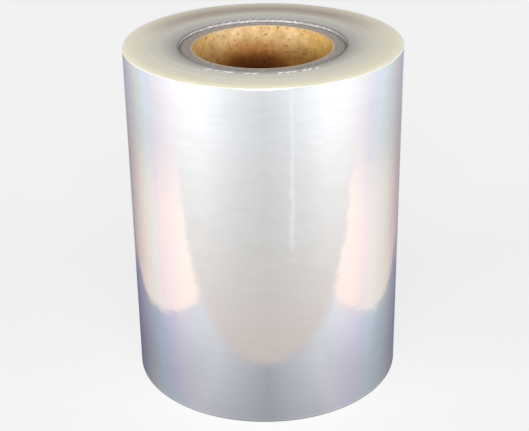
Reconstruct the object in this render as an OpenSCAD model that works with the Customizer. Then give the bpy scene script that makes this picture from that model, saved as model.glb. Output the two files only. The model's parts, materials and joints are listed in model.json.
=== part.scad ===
// Roll of clear sealing film, wound on a spiral-wound paperboard core.
// The roll stands on one end: z = 0 is the plane that it rests on, and the
// axis of the core is the Z axis. All lengths are in millimetres.

/* [Film] */
// Width of the film web, which is the height of the standing roll
film_width = 194; // [60:1:400]
// Outside diameter of the wound film
roll_d = 152; // [125:1:300]
// Step that the free end of the film leaves along the outside
tail_step = 0.3; // [0.1:0.05:0.6]
// Direction of the free end, counted from +X towards +Y
tail_angle = 160; // [0:5:355]
// Bevel on the outer edge of the outermost turns
rim_bevel = 0.5; // [0.2:0.1:1.2]

/* [Wound ends] */
// Radial width of one band of turns
band_w = 1.6; // [1:0.1:3]
// How far the lowest bands of turns lie below the proud ones
band_depth = 0.12; // [0.04:0.02:0.6]
// Width of the crimped first turns around the core
crimp_w = 4.4; // [2:0.1:6]
// How far the crimped turns lie below the face between their ridges
crimp_drop = 0.4; // [0.2:0.1:1]
// How far the crimped turns slope down from there to the core
crimp_fall = 0.9; // [0:0.1:1.5]
// Distance from one ridge of the crimped turns to the next
crimp_pitch = 5.2; // [4:0.1:10]
// How far a ridge may stray from its even place, as a share of the pitch
crimp_stray = 0.18; // [0:0.02:0.3]
// Angle between a ridge and the radius that it starts on
crimp_slant = 40; // [0:5:50]

/* [Core] */
// Inside diameter of the paperboard core
core_bore_d = 76.2; // [50:0.1:90]
// Thickness of the greyboard wall of the core
board_t = 6.6; // [3:0.1:10]
// Thickness of the kraft liner inside the wall
liner_t = 0.9; // [0.7:0.1:1.5]
// How far each end of the core lies below the end of the film
core_recess = 2.3; // [0.5:0.1:4]
// Bevel on the outer edge of the core
core_bevel = 0.7; // [0.3:0.1:1.5]
// Thickness of one ply of the greyboard
ply_t = 1.1; // [0.5:0.1:2]
// Depth of the glue line between two plies
glue_line = 0.15; // [0.05:0.05:0.3]

/* [Liner seam] */
// Width of the paper strip that the liner is wound from
strip_w = 120; // [60:1:150]
// Gap between neighbouring turns of the strip
seam_gap = 0.8; // [0.3:0.1:2]
// Depth of the gap
seam_depth = 0.4; // [0.2:0.05:0.6]
// Direction in which the seam leaves the top end, counted from +X
seam_angle = 150; // [0:5:355]

/* [Hidden] */
$fn = 180;

roll_r = roll_d / 2;
bore_r = core_bore_d / 2;
liner_r = bore_r + liner_t;
core_r = liner_r + board_t;
core_len = film_width - 2 * core_recess;
crimp_r = core_r + crimp_w;

// One band of turns in this many is proud, and the roll stands on those
proud_every = 3;
// The shallowest of the other bands, as a share of band_depth
shallow_share = 0.35;
// Turning angle that scatters the depths of the bands and the places of the ridges
scatter = 137.5;
// Angle that one slice of the helical seam turns through
seam_slice = 6;
// Radius of a ridge of the crimped turns, as a share of crimp_pitch
ridge_share = 0.25;
// How far a ridge runs past the crimped turns on each side, in ridge radii
ridge_reach = 2;
// How deep the ridges are rooted in the film, in ridge radii
ridge_root = 3;
// Depth of the crests of the ridges below the proud bands, where they meet the bands
crest_drop = 0.06;
// The cutters reach this far past the faces that they cut
over = 1;

face_w = roll_r - crimp_r;
band_n = max(3, round(face_w / band_w));
band_step = face_w / band_n;

// Depth of band i below the proud ones, counted from the outermost band
function band_drop(i) =
    i % proud_every == 0 ? 0 : band_depth * (shallow_share + (1 - shallow_share) * abs(sin(i * scatter)));

// Outer radius of band i
function band_outer(i) = roll_r - i * band_step;

// The last turn runs out on two arcs with different centres, so that the outline
// is smooth all round but for the step at the free end.
module turn_outline() {
    rotate(tail_angle - 180) {
        intersection() {
            circle(r = roll_r);
            translate([-2 * roll_r, 0]) square([4 * roll_r, 2 * roll_r]);
        }
        intersection() {
            translate([tail_step / 2, 0]) circle(r = roll_r - tail_step / 2);
            translate([-2 * roll_r, -2 * roll_r]) square([4 * roll_r, 2 * roll_r]);
        }
    }
}

// What is missing above the bands of turns on one end, as a profile in radius and height
module face_relief_profile() {
    reach = roll_r + over;
    crimp_points = [
        [core_r - over, -crimp_drop - crimp_fall * (1 + over / crimp_w)],
        [crimp_r, -crimp_drop]
    ];
    band_points = [
        for (i = [band_n - 1 : -1 : 1])
            each [[band_outer(i + 1), -band_drop(i)], [band_outer(i), -band_drop(i)]]
    ];
    rim_points = [
        [band_outer(1), 0],
        [roll_r - tail_step - rim_bevel, 0],
        [reach, -(reach - roll_r + tail_step + rim_bevel)]
    ];
    polygon(concat(crimp_points, band_points, rim_points, [[reach, over], [core_r - over, over]]));
}

// The slanted pleats of the crimped first turns. They slope down to the core with them, and
// each runs from the core into the innermost band.
module crimp_ridges() {
    ridge_n = round(2 * PI * core_r / crimp_pitch);
    ridge_step = 360 / ridge_n;
    ridge_r = ridge_share * crimp_pitch;
    ridge_tilt = atan(crimp_fall * cos(crimp_slant) / crimp_w);
    ridge_len = (crimp_w + 2 * ridge_reach * ridge_r) / cos(crimp_slant);
    root = crimp_fall + ridge_root * ridge_r;
    intersection() {
        for (i = [0 : ridge_n - 1])
            rotate(ridge_step * (i + crimp_stray * sin(i * scatter)))
                translate([core_r + crimp_w / 2, 0, -crest_drop - crimp_fall / 2 - ridge_r])
                    rotate(-crimp_slant)
                        rotate([0, 90 - ridge_tilt, 0]) cylinder(r = ridge_r, h = ridge_len, center = true);
        rotate_extrude()
            translate([core_r, -root]) square([crimp_w + band_step / 2, root - crest_drop]);
    }
}

module both_ends() {
    translate([0, 0, film_width]) children();
    mirror([0, 0, 1]) children();
}

// The whole web of film, from its crimped first turns to its free end
module wound_film() {
    color([0.86, 0.88, 0.88]) {
        difference() {
            linear_extrude(film_width) turn_outline();
            translate([0, 0, -over]) cylinder(r = core_r, h = film_width + 2 * over);
            both_ends() rotate_extrude() face_relief_profile();
        }
        both_ends() crimp_ridges();
    }
}

// Half of the board wall in section: square at the liner, bevelled outside, and
// with a shallow groove on each end at every glue line between two plies
module board_profile() {
    ply_n = max(2, round(board_t / ply_t));
    ply_step = board_t / ply_n;
    function end_points(z, side) = concat(
        [[liner_r, z]],
        [
            for (i = [1 : ply_n - 1])
                each [
                    [liner_r + i * ply_step - glue_line, z],
                    [liner_r + i * ply_step, z - side * glue_line],
                    [liner_r + i * ply_step + glue_line, z]
                ]
        ],
        [[core_r - core_bevel, z], [core_r, z - side * core_bevel]]
    );
    low = end_points(core_recess, -1);
    high = end_points(core_recess + core_len, 1);
    polygon(concat(low, [for (i = [len(high) - 1 : -1 : 0]) high[i]]));
}

module core_board() {
    color([0.60, 0.57, 0.54]) rotate_extrude() board_profile();
}

// The gap between neighbouring turns of the liner strip, a helix down the bore
module liner_seam() {
    seam_pitch = strip_w / sqrt(1 - pow(strip_w / (PI * core_bore_d), 2));
    seam_h = core_len + 2 * over;
    turn = 360 * seam_h / seam_pitch;
    rotate(seam_angle)
        translate([0, 0, core_recess - over])
            rotate(turn)
                linear_extrude(seam_h, twist = turn, slices = ceil(turn / seam_slice), $fn = 4)
                    translate([bore_r - seam_depth, -seam_gap / 2])
                        square([2 * seam_depth, seam_gap]);
}

module core_liner() {
    color([0.78, 0.60, 0.38])
        difference() {
            translate([0, 0, core_recess]) cylinder(r = liner_r, h = core_len);
            translate([0, 0, core_recess - over]) cylinder(r = bore_r, h = core_len + 2 * over);
            liner_seam();
        }
}

wound_film();
core_board();
core_liner();
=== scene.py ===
# %% [markdown]
# # A roll of clear sealing film
#
# The object is a roll of clear glossy film, the kind that is sealed over trays and pouches. It
# stands on one end. A web 194 mm wide is wound on a core of grey paperboard, and the core is lined
# with one ply of brown kraft paper. This notebook dresses the three solids of the CAD model: the
# solids give the sizes, and each piece built here keeps inside them.

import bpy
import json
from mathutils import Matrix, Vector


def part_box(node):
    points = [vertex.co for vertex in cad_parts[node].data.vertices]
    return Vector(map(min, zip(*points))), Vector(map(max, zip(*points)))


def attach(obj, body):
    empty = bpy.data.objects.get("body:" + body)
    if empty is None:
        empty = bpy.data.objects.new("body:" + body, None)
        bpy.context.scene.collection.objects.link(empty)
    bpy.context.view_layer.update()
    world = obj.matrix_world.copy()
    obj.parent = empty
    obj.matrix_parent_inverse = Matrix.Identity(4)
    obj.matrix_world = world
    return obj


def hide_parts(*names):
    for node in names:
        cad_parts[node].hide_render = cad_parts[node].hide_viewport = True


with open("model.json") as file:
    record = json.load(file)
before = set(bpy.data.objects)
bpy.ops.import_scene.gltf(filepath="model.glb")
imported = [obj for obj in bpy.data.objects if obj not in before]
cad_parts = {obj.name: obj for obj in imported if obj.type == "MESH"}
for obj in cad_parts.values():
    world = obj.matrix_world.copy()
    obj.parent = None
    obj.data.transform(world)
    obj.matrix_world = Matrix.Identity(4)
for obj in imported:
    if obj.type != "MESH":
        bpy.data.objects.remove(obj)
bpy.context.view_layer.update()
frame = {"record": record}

# %% Libraries and units
import json
import math
from types import SimpleNamespace

import bmesh
import bpy
import numpy as np
from mathutils import Matrix, Vector

MM = 0.001
print(f"Blender {bpy.app.version_string}, with 1 mm written as {MM} m")

# %% [markdown]
# ## Sizes
#
# Every size that a CAD box or a mount tells is read from it, so that the pieces stay where the
# solids are. Sizes that a box can't tell, such as the step at the free end of the film, are
# repeated in the cell that needs them first.

# %% Sizes from the frame
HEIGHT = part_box("wound_film")[1].z
ROLL_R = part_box("wound_film")[1].x
CORE_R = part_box("core_board")[1].x
LINER_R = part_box("core_liner")[1].x
CORE_BOTTOM, CORE_TOP = (corner.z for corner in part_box("core_board"))
mounts = {mount["name"]: mount for mount in frame["record"]["mounts"]}
BORE_R = mounts["core_bore"]["dims"]["r_mm"] * MM
print(f"roll {ROLL_R / MM:.1f} mm in radius, core {CORE_R / MM:.1f}, bore {BORE_R / MM:.1f}")

# %% [markdown]
# ## The camera
#
# The roll is seen from close by and from above. The short distance gives it its taper towards the
# floor, and a lens of 84 mm makes it fill the picture. A camera can be aimed with a constraint, but
# here it is placed by three angles: pitch is how far it looks down, yaw turns it aside, and the
# small lean tilts the whole picture.

# %% Camera
CAMERA_AT = Vector((0.0, -0.6409, 0.3949))
CAMERA_PITCH, CAMERA_YAW, CAMERA_LEAN = (math.radians(a) for a in (25.43, 0.04, -0.87))
LENS_MM, SENSOR_MM = 83.9, 36.0
NEAREST, FARTHEST = 0.01, 50.0


def make_camera():
    """A camera placed by its pitch, yaw and lean."""
    data = bpy.data.cameras.new("camera")
    data.lens, data.sensor_width = LENS_MM, SENSOR_MM
    data.clip_start, data.clip_end = NEAREST, FARTHEST
    camera = bpy.data.objects.new("camera", data)
    turn = Matrix.Rotation(CAMERA_YAW, 4, "Z")
    tilt = Matrix.Rotation(math.pi / 2 - CAMERA_PITCH, 4, "X")
    lean = Matrix.Rotation(CAMERA_LEAN, 4, "Z")
    camera.matrix_world = Matrix.Translation(CAMERA_AT) @ turn @ tilt @ lean
    bpy.context.scene.collection.objects.link(camera)
    bpy.context.scene.camera = camera


make_camera()
print(f"camera {CAMERA_AT.length:.3f} m from the foot of the roll")

# %% [markdown]
# ## A helper for shapes
#
# Everything on this roll was wound or cut round one axis, so every piece is a stack of rings. A
# Screw modifier would turn one profile round the axis, but it makes only round things. Here one
# helper joins rings of points into a watertight skin instead, and a ring may have its own radius
# and height at every angle. So the same helper makes the spiral outline, the pleats and the rough
# paper edges.

# %% Rings and the skin through them
# Points that are closer than this, in metres, become one
MERGE = 1e-7


def ring(angles, radius, height):
    """One ring of points. Radius and height are numbers, or one number for each angle."""
    points = np.empty((len(angles), 3))
    points[:, 0] = radius * np.cos(angles)
    points[:, 1] = radius * np.sin(angles)
    points[:, 2] = height
    return points


def ring_solid(name, rings, crease=35):
    """A closed skin through rings that go once round a profile. It is sharp past crease degrees."""
    rows, columns = len(rings), len(rings[0])
    here = np.arange(rows * columns).reshape(rows, columns)
    above, beside = np.roll(here, -1, axis=0), np.roll(here, -1, axis=1)
    across = np.roll(above, -1, axis=1)
    faces = np.stack([here, beside, across, above], axis=-1).reshape(-1, 4)
    mesh = bpy.data.meshes.new(name)
    mesh.from_pydata(np.concatenate(rings).tolist(), [], faces.tolist())
    skin = bmesh.new()
    skin.from_mesh(mesh)
    bmesh.ops.remove_doubles(skin, verts=skin.verts, dist=MERGE)
    bmesh.ops.recalc_face_normals(skin, faces=skin.faces)
    skin.to_mesh(mesh)
    skin.free()
    mesh.shade_smooth()
    mesh.set_sharp_from_angle(angle=math.radians(crease))
    piece = bpy.data.objects.new(name, mesh)
    bpy.context.scene.collection.objects.link(piece)
    print(f"{name}: {sum(len(p.vertices) - 2 for p in mesh.polygons)} triangles")
    return piece


# %% [markdown]
# ## The film: shape
#
# The web is wound hundreds of times round the core. Its outside is one smooth mirror-like turn
# that ends in a small step, where the free end lies flat on the turn below. On the ends of the
# roll the cut edges of the turns show as fine concentric bands, because a winder never stacks them
# perfectly level. Each turn could be modelled, but at 0.06 mm it would be far below a pixel. The
# skin below follows the CAD solid: the same two arcs with different centres outside, and the same
# bands on the ends. On the real roll the bands hardly show, so they are half as deep as the
# solid's.

# %% Outline of the outermost turn
TAIL_STEP = 0.3 * MM
TAIL_ANGLE = math.radians(160)
COLUMNS = 360
# The skin keeps this far inside the box of the solid
WITHIN = 0.02 * MM

turned = np.linspace(math.pi, 3 * math.pi, COLUMNS + 1)
off_centre = TAIL_STEP / 2
inner_arc = off_centre * np.cos(turned) + np.sqrt(
    (ROLL_R - off_centre) ** 2 - (off_centre * np.sin(turned)) ** 2)
OUTLINE = np.where(np.sin(turned) < 0, inner_arc, ROLL_R) - WITHIN
OUTLINE[0], OUTLINE[-1] = ROLL_R - WITHIN - TAIL_STEP, ROLL_R - WITHIN
ANGLES = turned + TAIL_ANGLE - math.pi
print(f"outline from {OUTLINE.min() / MM:.2f} to {OUTLINE.max() / MM:.2f} mm from the axis")

# %% Bands of turns on the ends
CRIMP_W = 4.4 * MM
CRIMP_R = CORE_R + CRIMP_W
BAND_W = 1.6 * MM
BAND_DEPTH = 0.06 * MM
BAND_SLOPE = 0.3 * MM
# The flat of the ends stops this far inside the outline
RIM = 0.8 * MM
PROUD_EVERY = 3
SHALLOW_SHARE = 0.35
# Degrees from one item to the next that scatter them without a visible pattern
SCATTER = 137.5
BANDS = round((ROLL_R - CRIMP_R) / BAND_W)
BAND_STEP = (ROLL_R - CRIMP_R) / BANDS
# Folds run into the innermost bands, so those belong to the skin of the pleats
FOLDED_BANDS = 3
FLAT_BANDS = BANDS - FOLDED_BANDS
PLEAT_R = ROLL_R - FLAT_BANDS * BAND_STEP


def band_drop(i):
    """How far band i, counted from the rim, lies below the proud ones."""
    if i % PROUD_EVERY == 0:
        return 0.0
    spread = abs(math.sin(math.radians(i * SCATTER)))
    return BAND_DEPTH * (SHALLOW_SHARE + (1 - SHALLOW_SHARE) * spread)


def end_profile():
    """(radius, depth) of each band, from the rim inward. Neighbours meet on a short slope."""
    points = []
    for i in range(FLAT_BANDS):
        outer = ROLL_R - (RIM if i == 0 else i * BAND_STEP + BAND_SLOPE)
        inner = ROLL_R - (i + 1) * BAND_STEP + (BAND_SLOPE if i < FLAT_BANDS - 1 else 0)
        points += [(outer, band_drop(i)), (inner, band_drop(i))]
    return points


print(f"{FLAT_BANDS} of {BANDS} bands of {BAND_STEP / MM:.2f} mm are on the flat of each end")

# %% The skin of the film
WALL_ROWS = 24
RIM_ROWS = 5
ROUNDING = 0.5 * MM
# The skin of the pleats closes a pocket this deep in each end of the web
POCKET = 3.0 * MM
LANE_DEPTH = 0.02 * MM
# Radians per metre: one wave in 65 mm of height and one in 153 mm, which never line up
SHORT_LANE, LONG_LANE, LANE_START = 97, 41, 1.3


def wall_radius(height):
    """The outermost turn at one height, less the shallow lanes where the web is thinner."""
    lane = math.sin(SHORT_LANE * height + LANE_START) * math.cos(LONG_LANE * height)
    return OUTLINE - LANE_DEPTH * (0.5 + 0.5 * lane)


def make_film_web():
    """The web as one skin: top end, pocket of the pleats, wall on the core, and back outside."""
    edges = end_profile()
    rings = [ring(ANGLES, radius, HEIGHT - depth) for radius, depth in edges]
    rings += [ring(ANGLES, radius, height) for radius, height in (
        (PLEAT_R, HEIGHT - POCKET), (CORE_R, HEIGHT - POCKET), (CORE_R, POCKET), (PLEAT_R, POCKET))]
    rings += [ring(ANGLES, radius, depth) for radius, depth in reversed(edges)]
    quarter = np.linspace(0, math.pi / 2, RIM_ROWS)
    rim = [(OUTLINE - ROUNDING * (1 - math.sin(t)), ROUNDING * (1 - math.cos(t))) for t in quarter]
    rings += [ring(ANGLES, radius, height) for radius, height in rim]
    wall = np.linspace(ROUNDING, HEIGHT - ROUNDING, WALL_ROWS)[1:-1]
    rings += [ring(ANGLES, wall_radius(height), height) for height in wall]
    rings += [ring(ANGLES, radius, HEIGHT - height) for radius, height in reversed(rim)]
    return ring_solid("film_web", rings)


film_web = make_film_web()
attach(film_web, "root")
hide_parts("wound_film")

# %% [markdown]
# ## The pleats round the core
#
# The first turns were pulled tight onto the core, so at both ends they slope down to it and have
# crimped into slanted pleats. The skin below has a low round crest at each place that the CAD solid
# has one. At the front, just outside them, some folds stand up higher and show as white flakes.
# The folds could come from a cloth simulation, but each would then be where chance puts it. A
# height for every angle and radius puts them where they are on the real roll, and seeded draws give
# each crest its own width and height, because no two pleats in thin film are alike.

# %% Where the crests are
CRIMP_PITCH = 5.2 * MM
FLAKE_PITCH = 3.6 * MM
CRIMP_STRAY = 0.18
# Half the width of the widest crest
WIDEST_HALF = CRIMP_PITCH / 4
# Least and greatest share of the full height of a flake, and of the full width of a crest
HEIGHT_SHARES, WIDTH_SHARES = (0.6, 1.0), (0.55, 0.85)
# Bearings in degrees, counted from the front to the right, between which the flakes stand up
FOLD_BEARINGS = [-32, -28, -10, -8, -5, 1, 3, 12, 14, 38, 42]
FOLD_SHARES = [0.0, 1.0, 1.0, 0.0, 1.0, 1.0, 0.0, 0.0, 1.0, 1.0, 0.0]
LEAST_RIDGE = 0.3


def crests(pitch):
    """Angles of the crests round the core, each a little off its even place."""
    count = round(2 * math.pi * CORE_R / pitch)
    order = np.arange(count)
    return 2 * math.pi / count * (order + CRIMP_STRAY * np.sin(np.radians(order * SCATTER)))


ridge_angles, flake_angles = crests(CRIMP_PITCH), crests(FLAKE_PITCH)
bearing = np.degrees((flake_angles + 1.5 * math.pi) % (2 * math.pi) - math.pi)
folded = np.interp(bearing, FOLD_BEARINGS, FOLD_SHARES)
ridge_rise = LEAST_RIDGE + (1 - LEAST_RIDGE) * np.abs(np.sin(ridge_angles))
draw = np.random.default_rng(seed=23)
flake_rise = folded * draw.uniform(*HEIGHT_SHARES, len(flake_angles))
crest_half = WIDEST_HALF * draw.uniform(*WIDTH_SHARES, len(flake_angles) + len(ridge_angles))
print(f"{len(ridge_angles)} ridges round the core and {np.count_nonzero(folded)} flakes in front")

# %% The skin of the pleats
PLEAT_COLUMNS = 1800
PLEAT_ROWS = 22
CRIMP_DROP = 0.4 * MM
CRIMP_FALL = 0.9 * MM
CRIMP_SLANT = math.radians(40)
RIDGE_HEIGHT = 0.05 * MM
FLAKE_R = 52.7 * MM
FLAKE_HALF = 1.7 * MM
# The tips of the flakes stay this far below the end of the roll
FLAKE_SHY = 0.01 * MM
EDGE_DROP = band_drop(FLAT_BANDS - 1)


def pleat_depth(angles, radius):
    """Depth of the pleated film below the end of the roll at one radius."""
    base = np.interp(radius, [CORE_R, CRIMP_R, PLEAT_R],
                     [CRIMP_DROP + CRIMP_FALL, CRIMP_DROP, EDGE_DROP])
    stretch = math.sqrt(max(0.0, 1 - ((radius - FLAKE_R) / FLAKE_HALF) ** 2))
    flakes = flake_rise * stretch * (base - FLAKE_SHY)
    ridges = RIDGE_HEIGHT * max(0.0, 1 - (radius - CORE_R) / CRIMP_W) * ridge_rise
    lean = math.tan(CRIMP_SLANT) * (radius - CORE_R - CRIMP_W / 2) / radius
    depth = np.full(len(angles), base)
    for centre, half, rise in zip(
            np.append(flake_angles, ridge_angles), crest_half, np.append(flakes, ridges)):
        away = (angles - centre + lean + math.pi) % (2 * math.pi) - math.pi
        bulge = np.sqrt(np.clip(1 - (away * radius * math.cos(CRIMP_SLANT) / half) ** 2, 0, 1))
        depth = np.minimum(depth, base - bulge * rise)
    return depth


def make_pleats(name, end, outward):
    """The pleated first turns at one end. Outward is 1 at the top and -1 at the bottom."""
    angles = np.linspace(0, 2 * math.pi, PLEAT_COLUMNS, endpoint=False)
    radii = np.linspace(CORE_R, PLEAT_R, PLEAT_ROWS)
    rings = [ring(angles, radius, end - outward * pleat_depth(angles, radius)) for radius in radii]
    rings += [ring(angles, radius, end - outward * POCKET) for radius in (PLEAT_R, CORE_R)]
    return ring_solid(name, rings, crease=60)


for name, end, outward in (("pleats_upper", HEIGHT, 1), ("pleats_lower", 0.0, -1)):
    pleats = make_pleats(name, end, outward)
    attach(pleats, "root")
    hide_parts("wound_film")

# %% [markdown]
# ## The board of the core
#
# The core is greyboard: strips of recycled paper, glued and wound on a slant into a tube, then cut
# off square. On the cut, each ply shows as a ring and each glue line as a thin dark groove, and the
# saw leaves the fibres rough. A bump map could fake the saw marks, but the board is seen from close
# by at a low angle, so its end gets real grooves and a small random depth at every point.

# %% The skin of the board
PLIES = 6
GROOVE = 0.15 * MM
CORE_BEVEL = 0.7 * MM
SAW_ROUGH = 0.06 * MM
ROWS_PER_PLY = 3
BOARD_COLUMNS = 720


def board_end():
    """(radius, depth) across the cut end of the board, from the liner to the film."""
    ply = (CORE_R - LINER_R) / PLIES
    points = []
    for i in range(PLIES):
        start, end = LINER_R + i * ply, LINER_R + (i + 1) * ply
        drop = GROOVE if i < PLIES - 1 else CORE_BEVEL
        first, last = start + (GROOVE if i else 0), end - drop
        points += [(radius, 0.0) for radius in np.linspace(first, last, ROWS_PER_PLY)]
        points += [(end, drop)]
    return points


def make_board():
    """The wall of the core with its two cut ends."""
    angles = np.linspace(0, 2 * math.pi, BOARD_COLUMNS, endpoint=False)
    draw = np.random.default_rng(seed=31)
    cut = [(radius, depth + SAW_ROUGH * draw.random(BOARD_COLUMNS))
           for radius, depth in board_end()]
    rings = [ring(angles, radius, CORE_BOTTOM + depth) for radius, depth in reversed(cut)]
    rings += [ring(angles, radius, CORE_TOP - depth) for radius, depth in cut]
    return ring_solid("board_wall", rings, crease=60)


board_wall = make_board()
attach(board_wall, "root")
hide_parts("core_board")

# %% [markdown]
# ## The liner of the bore
#
# The innermost ply is smooth brown kraft paper, so that the core slides over the shaft of a
# machine. It is a strip 120 mm wide wound on a helix, and its edges meet in a narrow gap. The gap
# could be cut with a Boolean, but that leaves a ragged mesh. A mesh whose columns follow the helix
# keeps the gap crisp with few faces: it is always the same column.

# %% The seam of the strip
STRIP_W = 120 * MM
SEAM_GAP = 0.8 * MM
SEAM_DEPTH = 0.4 * MM
SEAM_ANGLE = math.radians(150)
SEAM_PITCH = STRIP_W / math.sqrt(1 - (STRIP_W / (2 * math.pi * BORE_R)) ** 2)
print(f"seam climbs {SEAM_PITCH / MM:.0f} mm a turn")

# %% The skin of the liner
LINER_ROWS = 131
LINER_COLUMNS = 360
# The sides of the gap are this much wider than its floor, so that they aren't quite upright
SEAM_FLARE = 1.02
FRAY = 0.25 * MM
FRAY_WAVES = 70


def uneven(angles, waves, seed):
    """A smooth closed curve round the roll between -1 and 1, made of the given number of waves."""
    draw = np.random.default_rng(seed)
    total = np.zeros(len(angles))
    for k in range(1, waves + 1):
        total += draw.normal() * np.cos(k * angles + draw.uniform(0, 2 * math.pi))
    return total / np.abs(total).max()


def make_liner():
    """The kraft ply, with the seam of its strip down the bore and soft frayed rims."""
    half = SEAM_GAP / 2 / BORE_R
    side = half * SEAM_FLARE
    round_bore = np.linspace(side, 2 * math.pi - side, LINER_COLUMNS)[1:-1]
    angles = np.concatenate([[-side, -half, half, side], round_bore])
    groove = np.zeros(len(angles))
    groove[1:3] = SEAM_DEPTH
    fray = np.clip(uneven(angles, FRAY_WAVES, seed=5), 0, 1) * FRAY
    middle = (BORE_R + groove + LINER_R) / 2

    def turned_by(height):
        return SEAM_ANGLE + 2 * math.pi * (HEIGHT - height) / SEAM_PITCH + angles

    heights = np.linspace(CORE_BOTTOM, CORE_TOP, LINER_ROWS)
    rings = [ring(turned_by(height), BORE_R + groove, height) for height in heights]
    rings += [ring(turned_by(CORE_TOP), middle, CORE_TOP - fray)]
    rings += [ring(turned_by(height), LINER_R, height) for height in heights[::-2]]
    rings += [ring(turned_by(CORE_BOTTOM), middle, CORE_BOTTOM + fray)]
    return ring_solid("kraft_liner", rings, crease=50)


kraft_liner = make_liner()
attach(kraft_liner, "root")
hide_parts("core_liner")

# %% [markdown]
# ## Helpers for materials
#
# Colours are written as sRGB hex values, as a paint chart gives them, and one function turns them
# into the linear values that shaders need. One function adds any kind of node: its inputs are a
# list in the node's own order, or a dictionary by name. So a Map Range is its value, the two ends
# of the range that it reads, and the two values that it gives for them.
#
# Patterns are laid out in millimetres. A noise of scale 6 / 100 has about six waves in 100 mm.

# %% Colours and nodes
SMOOTH = {"interpolation_type": "SMOOTHSTEP"}
BLENDED = {"data_type": "RGBA"}
TINTED = {"data_type": "RGBA", "blend_type": "MULTIPLY"}
# Nearly all of a noise lies between these two values
NOISE = (0.3, 0.7)


def linear(hex_colour):
    """An sRGB colour such as d9dbdd as linear RGBA."""
    parts = [int(hex_colour[i:i + 2], 16) / 255 for i in (0, 2, 4)]
    return [c / 12.92 if c <= 0.04045 else ((c + 0.055) / 1.055) ** 2.4 for c in parts] + [1.0]


def new_material(name):
    """A node material with nothing in it yet."""
    material = bpy.data.materials.new(name)
    material.use_nodes = True
    material.node_tree.nodes.clear()
    return material


def add(material, kind, ins=(), out=0, stops=None, **settings):
    """Adds a node. Returns the output that out names or counts, or the node where out is None.

    Stops are the (position, hex colour) of a colour ramp, from low to high.
    """
    node = material.node_tree.nodes.new(kind)
    for key, value in settings.items():
        setattr(node, key, value)
    if stops:
        ramp = node.color_ramp.elements
        ramp.remove(ramp[-1])
        for i, (position, colour) in enumerate(stops):
            element = ramp[0] if i == 0 else ramp.new(position)
            element.position, element.color = position, linear(colour)
    sockets = [s for s in node.inputs if s.enabled]
    pairs = ins.items() if isinstance(ins, dict) else enumerate(ins)
    for key, value in pairs:
        socket = sockets[key] if isinstance(key, int) else next(s for s in sockets if s.name == key)
        if isinstance(value, bpy.types.NodeSocket):
            material.node_tree.links.new(value, socket)
        else:
            socket.default_value = value
    outputs = [s for s in node.outputs if s.enabled]
    return next((s for i, s in enumerate(outputs) if out in (i, s.name)), node)


def dress(piece, *finishes):
    """Gives a piece its materials and prints them."""
    piece.data.materials.clear()
    for finish in finishes:
        piece.data.materials.append(finish)
        print(f"{piece.name}: {finish.name}, {len(finish.node_tree.nodes)} nodes")


print("kraft brown ccae7f in linear light:", [round(c, 3) for c in linear("ccae7f")])

# %% Roll coordinates for patterns
def roll_coordinates(material):
    """Position in mm, its x and y, distance from the axis, height, and angle round the roll."""
    place = add(material, "ShaderNodeTexCoord", out="Object")
    position = add(material, "ShaderNodeVectorMath", {"Vector": place, "Scale": 1 / MM},
                   operation="SCALE")
    x, y, height = add(material, "ShaderNodeSeparateXYZ", [position], out=None).outputs
    flat = add(material, "ShaderNodeCombineXYZ", [x, y])
    distance = add(material, "ShaderNodeVectorMath", [flat], operation="LENGTH")
    angle = add(material, "ShaderNodeMath", [y, x], operation="ARCTAN2")
    return SimpleNamespace(
        position=position, x=x, y=y, distance=distance, height=height, angle=angle)


def depth_from_end(material, at, top):
    """How far a point lies inside the nearer end, in mm. Top is the height of the upper end."""
    from_middle = add(material, "ShaderNodeMath", [at.height, HEIGHT / MM / 2],
                      operation="SUBTRACT")
    outward = add(material, "ShaderNodeMath", [from_middle], operation="ABSOLUTE")
    return add(material, "ShaderNodeMath", [(top - HEIGHT / 2) / MM, outward], operation="SUBTRACT")


# %% [markdown]
# ## The finish of the film side
#
# The film is a clear laminate of polyester and polypropylene about 0.06 mm thick, cast and
# stretched, so its surface is as smooth as glass. One turn reflects a few per cent of the light,
# but hundreds of them behind each other reflect most of it, and the roll looks silvery although
# nothing in it is metal. Real glass shells would need hundreds of bounces. Part metal and part pale
# plastic gives the same look, and a clear coat stands for the outermost turn.
#
# The thin top layer splits light into pale colours, as a soap film does. Thin Film on the shader
# gives the reflections that shift, and a ramp over Layer Weight paints a pale iridescent sheen into
# the colour of the film: it goes round the hues once from straight on to grazing, and near grazing
# it turns dark grey, a painted shade along the outline.

# %% Painted iridescent sheen
def painted_iridescent_sheen(m, streaks):
    """Painted pale sheen of a thin layer, from straight on to grazing, with painted shade at
    grazing. The streaks shift it a little.
    """
    slant = add(m, "ShaderNodeLayerWeight", {"Blend": 0.5}, out="Facing")
    shift = add(m, "ShaderNodeMapRange", [streaks, *NOISE, -0.05, 0.05])
    fringe = add(m, "ShaderNodeMath", [slant, shift], operation="ADD")
    # Painted sheen in the base colour; the last two stops paint the outline darker, as painted
    # shade
    return add(m, "ShaderNodeValToRGB", [fringe], stops=(
        (0.10, "e9eaea"), (0.28, "ebeaea"), (0.36, "efe8ec"), (0.43, "e8e6f0"), (0.50, "e6ecf0"),
        (0.58, "e4eeea"), (0.66, "ecece4"), (0.76, "ece4e4"), (0.84, "e0dae0"),
        (0.885, "bab3b6"), (0.96, "868082")))


# %% Wound clear film
THINNEST_NM, THICKEST_NM = 460.0, 580.0
RIPPLE = 0.3 * MM
WRINKLE = 0.1 * MM


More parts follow.
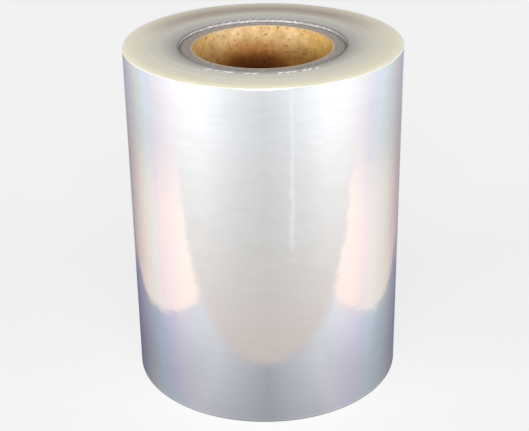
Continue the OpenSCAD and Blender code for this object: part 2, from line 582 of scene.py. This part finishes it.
def wound_clear_film():
    """Side of the roll: a mirror-like stack of clear turns."""
    m = new_material("wound_PET_PP_film")
    at = roll_coordinates(m)

    # Streaks of uneven thickness, about 17 mm wide and much longer, run up the side of the roll
    upright = add(m, "ShaderNodeVectorMath", [at.position, (1.0, 1.0, 0.03)], operation="MULTIPLY")
    streaks = add(m, "ShaderNodeTexNoise", {"Vector": upright, "Scale": 6 / 100, "Detail": 1.0},
                  out="Fac")
    thickness = add(m, "ShaderNodeMapRange", [streaks, *NOISE, THINNEST_NM, THICKEST_NM])
    hue = painted_iridescent_sheen(m, streaks)

    # Fine wrinkles, 2 mm apart and 50 mm long, run along the web and dull it by a hair
    along = add(m, "ShaderNodeVectorMath", [at.position, (0.04, 0.04, 1.0)], operation="MULTIPLY")
    wrinkles = add(m, "ShaderNodeTexNoise", {
        "Vector": along, "Scale": 1 / 2, "Detail": 4.0, "Roughness": 0.6}, out="Fac")
    scuffs = add(m, "ShaderNodeMapRange", [wrinkles, *NOISE, 0.985, 1.01])

    # The rounded lower edge gets a thin line of painted shade, with a painted highlight line just
    # above it
    painted_foot_shade = add(m, "ShaderNodeMapRange", [at.height, 0.6, 1.1, 0.68, 1.12])
    painted_highlight_end = add(m, "ShaderNodeMapRange", [at.height, 1.5, 2.2, 0.0, 0.12])
    foot = add(m, "ShaderNodeMath", [painted_foot_shade, painted_highlight_end], operation="SUBTRACT")
    shade = add(m, "ShaderNodeMath", [scuffs, foot], operation="MULTIPLY")
    tint = add(m, "ShaderNodeVectorMath", {"Vector": hue, "Scale": shade}, operation="SCALE")

    # The turns below give the film shallow waves about 17 mm long, and the wrinkles lie on them
    waves = add(m, "ShaderNodeTexNoise", {"Vector": at.position, "Scale": 6 / 100, "Detail": 2.0},
                out="Fac")
    rippled = add(m, "ShaderNodeBump", {"Strength": 1.0, "Distance": RIPPLE, "Height": waves})
    bumped = add(m, "ShaderNodeBump", {
        "Strength": 0.06, "Distance": WRINKLE, "Height": wrinkles, "Normal": rippled})
    film = add(m, "ShaderNodeBsdfPrincipled", {
        "Base Color": tint, "Metallic": 0.9, "Roughness": 0.12, "Normal": bumped,
        "Specular Tint": linear("cdc9d6"),
        "Coat Weight": 0.3, "Coat Roughness": 0.03, "Coat IOR": 1.5,
        "Thin Film Thickness": thickness, "Thin Film IOR": 1.35})
    add(m, "ShaderNodeOutputMaterial", {"Surface": film})
    return m


# %% [markdown]
# ## The finish of the ends of the film
#
# A rotary knife slits the web to its width, which leaves every turn with a dull, clean edge. Light
# runs inside the clear turns and comes out at their edges, so the end glows cream near the rim and
# turns grey towards the core, where little light gets in. Subsurface scattering that fades inward
# gives part of that glow, and a ramp of colours paints the rest into the end, as painted light near
# the rim and painted shade towards the core. Behind the core a band is painted a little greyer, as
# painted shade on the far side.

# %% Cut edges of the film
INNERMOST_MM, OUTERMOST_MM = 46.0, 76.0
GLOW_REACH = (12 * MM, 11.5 * MM, 9 * MM)
EDGE_STEP = 0.05 * MM


def cut_film_edges():
    """Ends of the roll: the slit edges of the turns, with painted light in cream near the rim and
    painted shade towards the core.
    """
    m = new_material("slit_edges_of_PET_PP_film")
    at = roll_coordinates(m)
    across = add(m, "ShaderNodeMapRange", [at.distance, INNERMOST_MM, OUTERMOST_MM, 0.0, 1.0])
    # Painted light and shade: grey towards the core, cream near the rim
    shade = add(m, "ShaderNodeValToRGB", [across], stops=(
        (0.0, "a29f9a"), (0.13, "b5b3ad"), (0.3, "ccc8bd"), (0.55, "dad5c6"), (0.8, "e1dbc5"),
        (0.95, "e9e4d0"), (1.0, "e6e3d0")))

    # Lines of the turns, drawn 29 in 10 mm because the real ones, 0.06 mm apart, can't show
    turns = add(m, "ShaderNodeMath", [at.distance, 29 / 10], operation="MULTIPLY")
    lines = add(m, "ShaderNodeTexNoise", {"W": turns, "Scale": 1.0, "Detail": 2.0}, out="Fac",
                noise_dimensions="1D")
    softly = add(m, "ShaderNodeMapRange", [lines, *NOISE, 0.985, 1.005])
    even = add(m, "ShaderNodeVectorMath", {"Vector": shade, "Scale": softly}, operation="SCALE")

    # A band of painted shade behind the core rises from 53 to 63 mm from the axis and fades to the
    # rim
    backward = add(m, "ShaderNodeMath", [at.angle], operation="SINE")
    at_back = add(m, "ShaderNodeMapRange", [backward, 0.1, 0.85, 0.0, 1.0], **SMOOTH)
    rising = add(m, "ShaderNodeMapRange", [at.distance, 53.0, 63.0, 0.0, 1.0], **SMOOTH)
    falling = add(m, "ShaderNodeMapRange", [at.distance, 65.0, OUTERMOST_MM, 1.0, 0.2])
    band = add(m, "ShaderNodeMath", [rising, falling], operation="MULTIPLY")
    back_shade = add(m, "ShaderNodeMath", [band, at_back], operation="MULTIPLY")
    colour = add(m, "ShaderNodeMix", {"Factor": back_shade, "A": even, "B": linear("cdc1c1")}, **TINTED)

    bumped = add(m, "ShaderNodeBump", {"Strength": 0.1, "Distance": EDGE_STEP, "Height": lines})

    # Light comes out of the edges beyond 57 mm from the axis, and most beyond 70 mm
    glowing = add(m, "ShaderNodeMapRange", [at.distance, 57.0, 70.0, 0.0, 0.7])
    edges = add(m, "ShaderNodeBsdfPrincipled", {
        "Base Color": colour, "Roughness": 0.65, "IOR": 1.5, "Specular IOR Level": 0.1,
        "Normal": bumped, "Subsurface Weight": glowing, "Subsurface Radius": GLOW_REACH,
        "Subsurface Scale": 1.0})
    add(m, "ShaderNodeOutputMaterial", {"Surface": edges})
    return m


# %% Give the web its two finishes
# A face whose normal leans up or down by less than this belongs to the side of the roll
UPRIGHT = 0.35
dress(film_web, wound_clear_film(), cut_film_edges())
for face in film_web.data.polygons:
    on_side = abs(face.normal.z) < UPRIGHT and face.center.xy.length > ROLL_R - RIM
    face.material_index = 0 if on_side else 1

# %% [markdown]
# ## The finish of the pleats
#
# The crests of the pleats catch the light, and that glint is painted white into the colour, as a
# painted highlight. Between the crests the film is grey, painted darker towards the core and
# darkest by the gap next to it, as painted shade. The shader finds the crests from the shape
# itself: it works out the slope that the film would have without pleats, and paints white what
# stands up from it. Below the slope is the inner wall of the film. It stands free above the sunk
# core, and its uneven edges carry a row of painted pale spots, as painted highlights.

# %% Crimped film
def rise_of_pleats(m, at):
    """How far a point stands above the plain slope of the first turns, in mm."""
    inner_slope = add(m, "ShaderNodeMapRange", [
        at.distance, CORE_R / MM, CRIMP_R / MM, (CRIMP_DROP + CRIMP_FALL) / MM, CRIMP_DROP / MM])
    outer_slope = add(m, "ShaderNodeMapRange", [
        at.distance, CRIMP_R / MM, PLEAT_R / MM, 0.0, (CRIMP_DROP - EDGE_DROP) / MM])
    slope = add(m, "ShaderNodeMath", [inner_slope, outer_slope], operation="SUBTRACT")
    depth = depth_from_end(m, at, HEIGHT)
    return add(m, "ShaderNodeMath", [slope, depth], operation="SUBTRACT")


def crimped_film():
    """Pleats: painted white glints on the crests, grey with painted shade by the core between them,
    painted pale spots of light on the inner wall.
    """
    m = new_material("crimped_PET_PP_film")
    at = roll_coordinates(m)
    raised = rise_of_pleats(m, at)
    across = add(m, "ShaderNodeMapRange", [at.distance, CORE_R / MM, PLEAT_R / MM, 0.0, 1.0])
    # Grey film, painted darker towards the core and darkest by the gap, as painted shade
    clear = add(m, "ShaderNodeValToRGB", [across], stops=(
        (0.0, "7a7672"), (0.08, "96928d"), (0.195, "aba8a3"), (0.46, "b4b2ac"), (0.81, "c4c1b7"),
        (1.0, "c9c5b9")))

    # A painted white glint, full where the film stands 0.06 mm above the slope
    painted_glint = add(m, "ShaderNodeMapRange", [raised, 0.025, 0.06, 0.0, 1.0], **SMOOTH)
    folded = add(m, "ShaderNodeMix", {"Factor": painted_glint, "A": clear, "B": linear("fdfdff")}, **BLENDED)

    # The inner wall has painted pale spots of light, about 1.7 mm wide, six in 10 mm
    spots = add(m, "ShaderNodeTexNoise", {"Vector": at.position, "Scale": 6 / 10, "Detail": 2.0},
                out="Fac")
    wall = add(m, "ShaderNodeValToRGB", [spots], stops=(
        (0.4, "a8a2a3"), (0.55, "b8b3b5"), (0.66, "dad8da")))
    below = add(m, "ShaderNodeMapRange", [raised, -0.05, -0.2, 0.0, 1.0])
    colour = add(m, "ShaderNodeMix", {"Factor": below, "A": folded, "B": wall}, **BLENDED)
    film = add(m, "ShaderNodeBsdfPrincipled", {
        "Base Color": colour, "Roughness": 0.6, "Specular IOR Level": 0.12})
    add(m, "ShaderNodeOutputMaterial", {"Surface": film})
    return m


crimped = crimped_film()
for name in ("pleats_upper", "pleats_lower"):
    dress(bpy.data.objects[name], crimped)

# %% [markdown]
# ## The finish of the core
#
# Greyboard is pulped waste paper, pressed and dried: grey-brown, dull, with darker and lighter
# fibres. Its glue lines are darker, and its outer edge next to the film is painted darker, as
# painted shade. Kraft paper is unbleached, so it is golden brown, with dark flecks of bark that the
# pulping left in, and calendering gives it a slight sheen. Both could be photographs of paper
# wrapped round the core. Noise in millimetres has no seam and stays sharp from close by.

# %% Greyboard
GLUE_W_MM = 0.22
# Painted shade next to the film lies between these distances from the axis, in mm
EDGE_SHADE_FROM_MM, EDGE_SHADE_TO_MM = CORE_R / MM - 2.4, CORE_R / MM - 0.6
FIBRE_HEIGHT = 0.2 * MM


def greyboard():
    """Cut end and wall of the core."""
    m = new_material("greyboard")
    at = roll_coordinates(m)
    # Clumps of fibres, 16 in 10 mm
    fibres = add(m, "ShaderNodeTexNoise", {
        "Vector": at.position, "Scale": 16 / 10, "Detail": 4.0, "Roughness": 0.7}, out="Fac")
    colour = add(m, "ShaderNodeValToRGB", [fibres], stops=(
        (0.30, "746b66"), (0.45, "968d86"), (0.56, "aba39a"), (0.68, "d6d0c8")))

    # A darker line at each glue joint, and painted shade next to the film that deepens over the
    # outermost 2.4 mm
    ply = (CORE_R - LINER_R) / PLIES / MM
    from_liner = add(m, "ShaderNodeMath", [at.distance, LINER_R / MM], operation="SUBTRACT")
    in_ply = add(m, "ShaderNodeMath", [from_liner, ply / 2], operation="PINGPONG")
    glue = add(m, "ShaderNodeMapRange", [in_ply, 0.0, GLUE_W_MM, 0.78, 1.0], **SMOOTH)
    edge_shade = add(m, "ShaderNodeMapRange", [at.distance, EDGE_SHADE_FROM_MM, EDGE_SHADE_TO_MM, 1.0, 0.62])
    shade = add(m, "ShaderNodeMath", [glue, edge_shade], operation="MULTIPLY")
    shaded = add(m, "ShaderNodeVectorMath", {"Vector": colour, "Scale": shade}, operation="SCALE")
    bumped = add(m, "ShaderNodeBump", {"Strength": 0.5, "Distance": FIBRE_HEIGHT, "Height": fibres})
    board = add(m, "ShaderNodeBsdfPrincipled", {
        "Base Color": shaded, "Roughness": 0.9, "IOR": 1.45, "Normal": bumped})
    add(m, "ShaderNodeOutputMaterial", {"Surface": board})
    return m


dress(board_wall, greyboard())

# %% Colours of the kraft paper
def flecked_kraft(m, at):
    """Golden brown in soft clouds about 6 mm wide, with flecks of bark about 2.5 mm apart."""
    cloud = add(m, "ShaderNodeTexNoise", {
        "Vector": at.position, "Scale": 16 / 100, "Detail": 5.0, "Roughness": 0.65}, out="Fac")
    paper = add(m, "ShaderNodeValToRGB", [cloud], stops=(
        (0.3, "b89668"), (0.5, "ccae7f"), (0.7, "dcc39c")))
    specks = add(m, "ShaderNodeTexNoise", {
        "Vector": at.position, "Scale": 4 / 10, "Detail": 2.0, "Roughness": 0.7}, out="Fac")
    bark = add(m, "ShaderNodeMapRange", [specks, 0.56, 0.68, 0.0, 0.65], **SMOOTH)
    return add(m, "ShaderNodeMix", {"Factor": bark, "A": paper, "B": linear("845222")}, **BLENDED)


# %% [markdown]
# ## The shade of the bore
#
# The even surround lights a deep bore further down than the light of a room does, and lamps can't
# take that light away. So the shade of the bore is part of its paint: it depends on how far a point
# lies inside the nearer end and on its side of the bore, and it goes with the roll into any scene.

# %% Shade down the bore
# The darkest line lies this far, in radians, to the left of the very back
DARK_SIDE = 0.14
SHADE_REACH_MM = 90.0


def shaded_bore(m, at, depth, paper):
    """The paper with the painted shade of the bore in it: darker with depth and most at the back,
    and a painted warmer tint of bounce light on the sides and front.
    """
    turned = add(m, "ShaderNodeMath", [at.angle, DARK_SIDE], operation="SUBTRACT")
    backward = add(m, "ShaderNodeMath", [turned], operation="SINE")
    sheltered = add(m, "ShaderNodeMapRange", [backward, 0.8, 1.0, 0.6, 1.0])
    reach = add(m, "ShaderNodeMath", [depth, sheltered], operation="MULTIPLY")
    down = add(m, "ShaderNodeMapRange", [reach, 0.0, SHADE_REACH_MM, 0.0, 1.0])
    shade = add(m, "ShaderNodeValToRGB", [down], stops=(
        (0.0, "ffffff"), (0.08, "f8eed8"), (0.15, "ecc492"), (0.2, "b5834f"), (0.28, "5c381c"),
        (0.55, "9a7048"), (1.0, "b48a60")))
    dim = add(m, "ShaderNodeMix", {"Factor": 1.0, "A": paper, "B": shade}, **TINTED)
    # Painted bounce light: the sides and front of the bore are tinted a warmer gold
    aside = add(m, "ShaderNodeMapRange", [backward, 0.5, 0.9, 1.0, 0.0])
    return add(m, "ShaderNodeMix", {"Factor": aside, "A": dim, "B": linear("fff3ca")}, **TINTED)


# %% Kraft paper
GRAIN_HEIGHT = 0.2 * MM


def kraft_paper():
    """Liner of the bore: golden brown with bark flecks, darker inside, pale where it is cut."""
    m = new_material("kraft_paper")
    at = roll_coordinates(m)
    depth = depth_from_end(m, at, CORE_TOP)
    golden = shaded_bore(m, at, depth, flecked_kraft(m, at))
    # The knife left a pale edge that goes 0.3 to 0.5 mm down
    cut = add(m, "ShaderNodeMapRange", [depth, 0.3, 0.5, 1.0, 0.0])
    colour = add(m, "ShaderNodeMix", {"Factor": cut, "A": golden, "B": linear("b5a188")}, **BLENDED)
    # Grain of the paper, 15 in 10 mm
    grain = add(m, "ShaderNodeTexNoise", {"Vector": at.position, "Scale": 15 / 10, "Detail": 4.0},
                out="Fac")
    bumped = add(m, "ShaderNodeBump", {"Strength": 0.35, "Distance": GRAIN_HEIGHT, "Height": grain})
    kraft = add(m, "ShaderNodeBsdfPrincipled", {
        "Base Color": colour, "Roughness": 0.5, "Specular IOR Level": 0.4, "Normal": bumped})
    add(m, "ShaderNodeOutputMaterial", {"Surface": kraft})
    return m


dress(kraft_liner, kraft_paper())

# %% [markdown]
# ## The studio
#
# The floor is plain and pale, and the light is soft: an even pale surround and four softboxes, in
# front, on both sides and overhead. Light Path tells the shaders what a ray comes from, so that the
# camera, reflections and clear things see a bright surround while the light on the roll stays
# plain.

# %% Floor and surround
def seen_directly(tree_owner):
    """1 for a ray of the camera, of a reflection or through something clear, otherwise 0."""
    rays = add(tree_owner, "ShaderNodeLightPath", out=None).outputs
    seen = add(tree_owner, "ShaderNodeMath", [rays["Is Camera Ray"], rays["Is Glossy Ray"]],
               operation="MAXIMUM")
    return add(tree_owner, "ShaderNodeMath", [seen, rays["Is Transmission Ray"]],
               operation="MAXIMUM")


def plane(name, size, height):
    """A square sheet on the floor. Size is half of its side."""
    mesh = bpy.data.meshes.new(name)
    corners = [(x * size, y * size, height) for x, y in ((-1, -1), (1, -1), (1, 1), (-1, 1))]
    mesh.from_pydata(corners, [], [(0, 1, 2, 3)])
    sheet = bpy.data.objects.new(name, mesh)
    bpy.context.scene.collection.objects.link(sheet)
    return sheet


def matt_white_floor():
    """Matt paint that looks a little brighter towards the back, as a lit backdrop does."""
    m = new_material("matt_white_floor")
    at = roll_coordinates(m)
    # From 100 mm in front of the axis to 600 mm behind it
    lift = add(m, "ShaderNodeMapRange", [at.y, -100.0, 600.0, 0.775, 0.875])
    lit = add(m, "ShaderNodeMath", [seen_directly(m), lift], operation="MULTIPLY")
    paint = add(m, "ShaderNodeBsdfDiffuse", {"Color": linear("7a7a7a")})
    glow = add(m, "ShaderNodeEmission", {"Color": linear("f4f4f4"), "Strength": lit})
    surface = add(m, "ShaderNodeAddShader", [paint, glow])
    add(m, "ShaderNodeOutputMaterial", {"Surface": surface})
    return m


FLOOR_HALF = 8.0
SHADY, PALE = 0.16, 0.85
dress(plane("floor", FLOOR_HALF, 0.0), matt_white_floor())

surround = bpy.data.worlds.new("surround")
surround.use_nodes = True
surround.node_tree.nodes.clear()
strength = add(surround, "ShaderNodeMapRange", [seen_directly(surround), 0.0, 1.0, SHADY, PALE])
sky = add(surround, "ShaderNodeBackground", {"Color": linear("ffffff"), "Strength": strength})
add(surround, "ShaderNodeOutputWorld", {"Surface": sky})
bpy.context.scene.world = surround

# %% Softboxes
def softbox(name, azimuth, distance, height, width, tall, watts):
    """A rectangular lamp that faces the roll. Azimuth is counted from the camera's side."""
    lamp = bpy.data.lights.new(name, "AREA")
    lamp.shape, lamp.size, lamp.size_y, lamp.energy = "RECTANGLE", width, tall, watts
    box = bpy.data.objects.new(name, lamp)
    a = math.radians(azimuth)
    box.location = (distance * math.sin(a), -distance * math.cos(a), height)
    aim = Vector((0, 0, HEIGHT / 2)) - box.location
    box.rotation_euler = aim.to_track_quat("-Z", "Y").to_euler()
    bpy.context.scene.collection.objects.link(box)
    print(f"{name}: {watts} W, {width} by {tall} m, {distance} m away")


beside = {"distance": 2.8, "height": 0.66, "width": 1.0, "tall": 0.6}
softbox("softbox_front", azimuth=0, distance=3.2, height=0.74, width=2.0, tall=0.6, watts=74)
softbox("softbox_left", azimuth=-62, watts=41, **beside)
softbox("softbox_right", azimuth=62, watts=31, **beside)
softbox("softbox_overhead", azimuth=0, distance=0.65, height=0.95, width=0.9, tall=0.5, watts=6.3)

# %% [markdown]
# ## The table card
#
# A mirror-like roll shows what lies round it. Seen from above, an upright mirror shows the table it
# stands on, so its looks come from there too. Objects could stand round the roll to be mirrored,
# but each would also shade the floor. As in product photography, a painted card lies under the roll
# instead. Only reflections see it, and the camera sees the plain floor.
#
# Its paint is worked out from the place on the table. Under the roll, and to 150 mm on both sides,
# lies a cool grey mat, which ends 110 mm behind the axis and 140 mm in front. Beside the mat the
# table is warm wood, and further out and in front it is a pale cloth. Painted light makes all of it
# brighter in the two directions of the side softboxes, and a narrow strip of painted light, as from
# a window, crosses the cloth in front.

# %% Tones of the table
def table_tones(m, at, around):
    """Colour of the table: mat under the roll, wood beside it, cloth further out and in front."""
    away = add(m, "ShaderNodeMapRange", [at.distance, 0.0, 1000.0, 0.0, 1.0])
    cloth = add(m, "ShaderNodeValToRGB", [away], stops=(
        (0.15, "c4b7b1"), (0.32, "c9c8c6"), (0.55, "d4d6db")))
    wood = add(m, "ShaderNodeValToRGB", [around], stops=(
        (0.08, "c8c0ba"), (0.20, "f3e3da"), (0.36, "f7e6d9"), (0.64, "f7e6d9"), (0.80, "f3e3da"),
        (0.92, "cdc6be")))
    # The mat has a painted shadow straight in front, with lighter bands on both sides of it
    mat = add(m, "ShaderNodeValToRGB", [around], stops=(
        (0.0, "868998"), (0.26, "8a8fa2"), (0.41, "b9bcc5"), (0.5, "8c939c"), (0.59, "bec0c9"),
        (0.74, "9ca3b0"), (1.0, "868998")))

    # The mat is lighter away from the roll, which shades it
    aside = add(m, "ShaderNodeMath", [at.x], operation="ABSOLUTE")
    outward = add(m, "ShaderNodeMapRange", [at.distance, 85.0, 160.0, 0.9, 1.12])
    sideways = add(m, "ShaderNodeMapRange", [aside, 85.0, 140.0, 1.0, 1.22])
    lighter = add(m, "ShaderNodeMath", [outward, sideways], operation="MULTIPLY")
    shaded = add(m, "ShaderNodeVectorMath", {"Vector": mat, "Scale": lighter}, operation="SCALE")

    # Where the wood ends, then where the mat ends, then where the cloth in front begins
    outside = add(m, "ShaderNodeMapRange", [aside, 144.0, 158.0, 0.0, 1.0], **SMOOTH)
    close = add(m, "ShaderNodeMapRange", [at.distance, 470.0, 300.0, 0.0, 1.0], **SMOOTH)
    on_wood = add(m, "ShaderNodeMath", [outside, close], operation="MULTIPLY")
    beyond = add(m, "ShaderNodeMix", {"Factor": on_wood, "A": cloth, "B": wood}, **BLENDED)
    behind = add(m, "ShaderNodeMapRange", [at.y, 95.0, 125.0, 0.0, 1.0], **SMOOTH)
    off_mat = add(m, "ShaderNodeMath", [outside, behind], operation="MAXIMUM")
    near_roll = add(m, "ShaderNodeMix", {"Factor": off_mat, "A": shaded, "B": beyond}, **BLENDED)
    past_edge = add(m, "ShaderNodeMapRange", [at.y, -146.0, -128.0, 0.0, 1.0], **SMOOTH)
    return add(m, "ShaderNodeMix", {"Factor": past_edge, "A": cloth, "B": near_roll}, **BLENDED)


# %% Painted strip of light, as from a window
STRIP_ACROSS = (0.927, 0.375, 0.0)
STRIP_AT_MM = -15.4


def painted_light_strip(m, at):
    """Strength of a narrow strip of painted light that lies on the cloth in front, at a slant."""
    across = add(m, "ShaderNodeVectorMath", [at.position, STRIP_ACROSS], out="Value",
                 operation="DOT_PRODUCT")
    from_strip = add(m, "ShaderNodeMath", [across, STRIP_AT_MM], operation="SUBTRACT")
    off_strip = add(m, "ShaderNodeMath", [from_strip], operation="ABSOLUTE")
    strip = add(m, "ShaderNodeMapRange", [off_strip, 14.0, 4.0, 0.0, 0.2], **SMOOTH)
    begun = add(m, "ShaderNodeMapRange", [at.distance, 250.0, 330.0, 0.0, 1.0], **SMOOTH)
    in_front = add(m, "ShaderNodeMapRange", [at.y, -200.0, -260.0, 0.0, 1.0])
    strip = add(m, "ShaderNodeMath", [strip, begun], operation="MULTIPLY")
    return add(m, "ShaderNodeMath", [strip, in_front], operation="MULTIPLY")


# %% Table card, seen only in reflections
CARD_HALF = 1.6
CARD_HEIGHT = 0.05 * MM


def table_card_paint():
    """What the film mirrors: the tones of the table, and painted light on it."""
    m = new_material("table_card")
    at = roll_coordinates(m)
    # Around is 0 behind the roll, 0.25 on its left, 0.5 in front and 0.75 on its right
    ahead = add(m, "ShaderNodeMath", [at.y, -1.0], operation="MULTIPLY")
    bearing = add(m, "ShaderNodeMath", [at.x, ahead], operation="ARCTAN2")
    around = add(m, "ShaderNodeMapRange", [bearing, -math.pi, math.pi, 0.0, 1.0])
    # Painted light on the card: brighter in the directions of the side softboxes, and more so
    # further out
    lamps = add(m, "ShaderNodeValToRGB", [around], stops=(
        (0.12, "404448"), (0.25, "b4b8bc"), (0.33, "ffffff"), (0.37, "ffffff"), (0.45, "888a8c"),
        (0.5, "000000"), (0.55, "888a8c"), (0.63, "ffffff"), (0.67, "ffffff"), (0.75, "b4b8bc"),
        (0.88, "404448")))
    near = add(m, "ShaderNodeMapRange", [at.distance, 80.0, 220.0, 0.0, 0.18])
    far = add(m, "ShaderNodeMapRange", [at.distance, 220.0, 620.0, 0.0, 0.34])
    glow = add(m, "ShaderNodeMath", [near, far], operation="ADD")
    plain = add(m, "ShaderNodeEmission", {"Color": table_tones(m, at, around), "Strength": 1.12})
    bright = add(m, "ShaderNodeEmission", {"Color": lamps, "Strength": glow})
    # A painted strip of light, as from a window
    painted_strip_glow = add(m, "ShaderNodeEmission", {
        "Color": linear("f4f8fb"), "Strength": painted_light_strip(m, at)})
    lit = add(m, "ShaderNodeAddShader", [plain, bright])
    light = add(m, "ShaderNodeAddShader", [lit, painted_strip_glow])
    add(m, "ShaderNodeOutputMaterial", {"Surface": light})
    return m


table_card = plane("table_card", CARD_HALF, CARD_HEIGHT)
dress(table_card, table_card_paint())
table_card.visible_camera = table_card.visible_diffuse = table_card.visible_shadow = False
table_card.visible_transmission = table_card.visible_volume_scatter = False

# %% View settings
bpy.context.scene.view_settings.view_transform = "Standard"
print("view transform:", bpy.context.scene.view_settings.view_transform)
